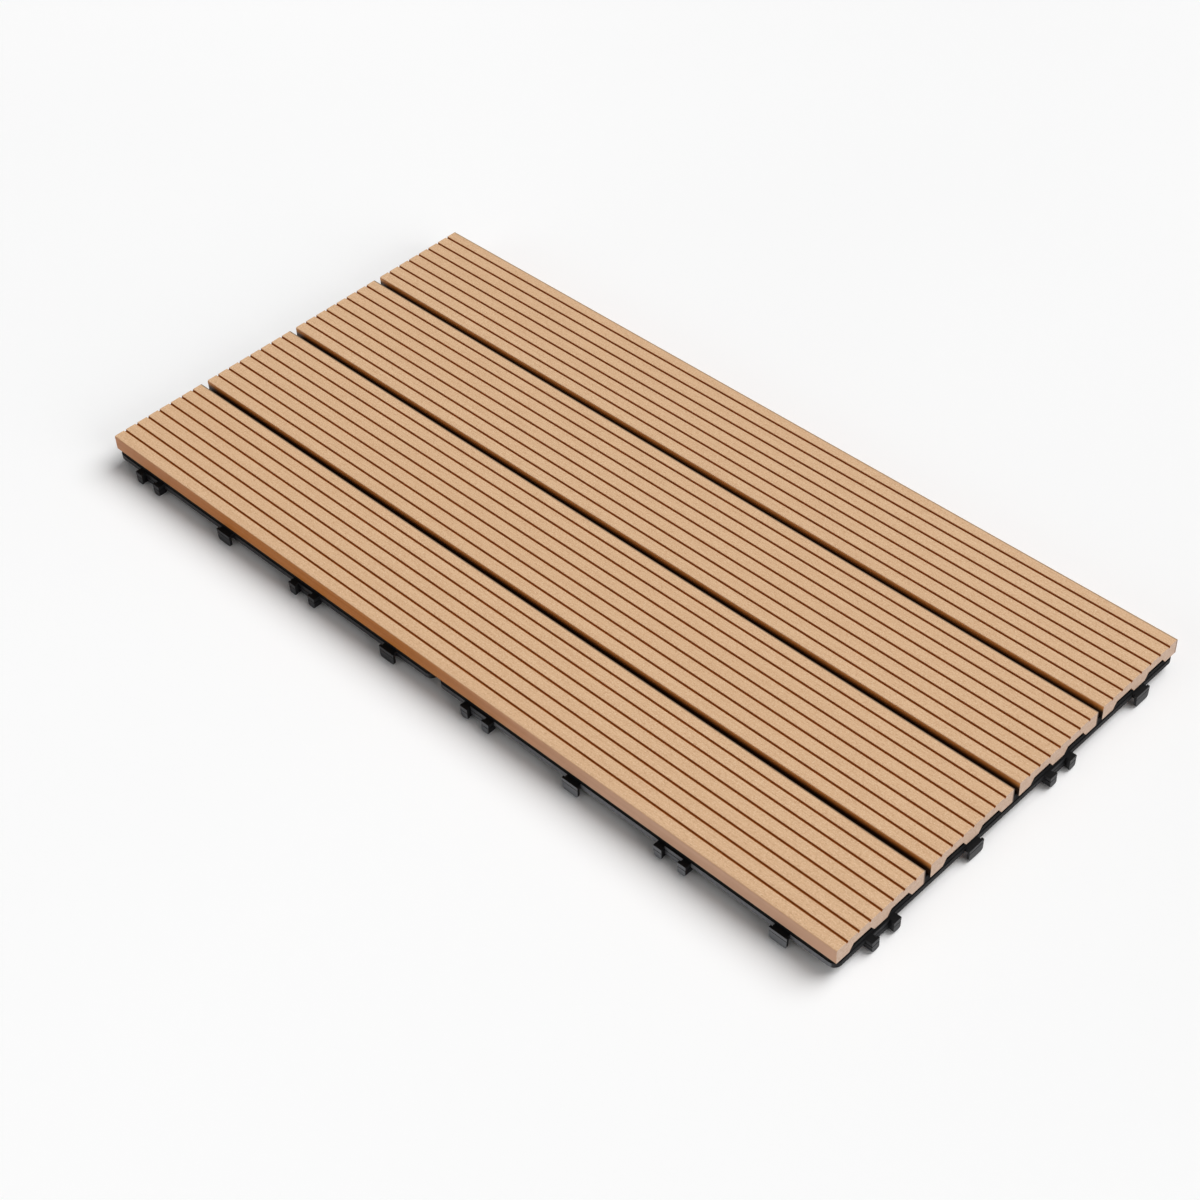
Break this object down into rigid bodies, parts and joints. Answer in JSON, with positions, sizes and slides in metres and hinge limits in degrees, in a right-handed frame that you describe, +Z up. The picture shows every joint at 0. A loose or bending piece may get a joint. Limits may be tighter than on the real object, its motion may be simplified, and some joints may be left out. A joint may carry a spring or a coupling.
{
  "type": "interlocking deck tile",
  "caption": "Interlocking outdoor deck tile: grooved wood-composite slats on black plastic bases with clips all round.",
  "frame": {"origin": "middle of the tile, on the ground plane that its feet stand on", "axes": "+X along the slats, +Y across them away from the near long side, +Z up through the walking surface"},
  "size_m": [0.6042, 0.3042, 0.022],
  "materials": {
    "composite": "brushed",
    "base_plastic": "satin",
    "screw_steel": "satin"
  },
  "bodies": {
    "root": {"slat_1": "composite", "slat_2": "composite", "slat_3": "composite", "slat_4": "composite", "base_left": "base_plastic", "base_right": "base_plastic", "screws": "screw_steel"}
  },
  "joints": []
}
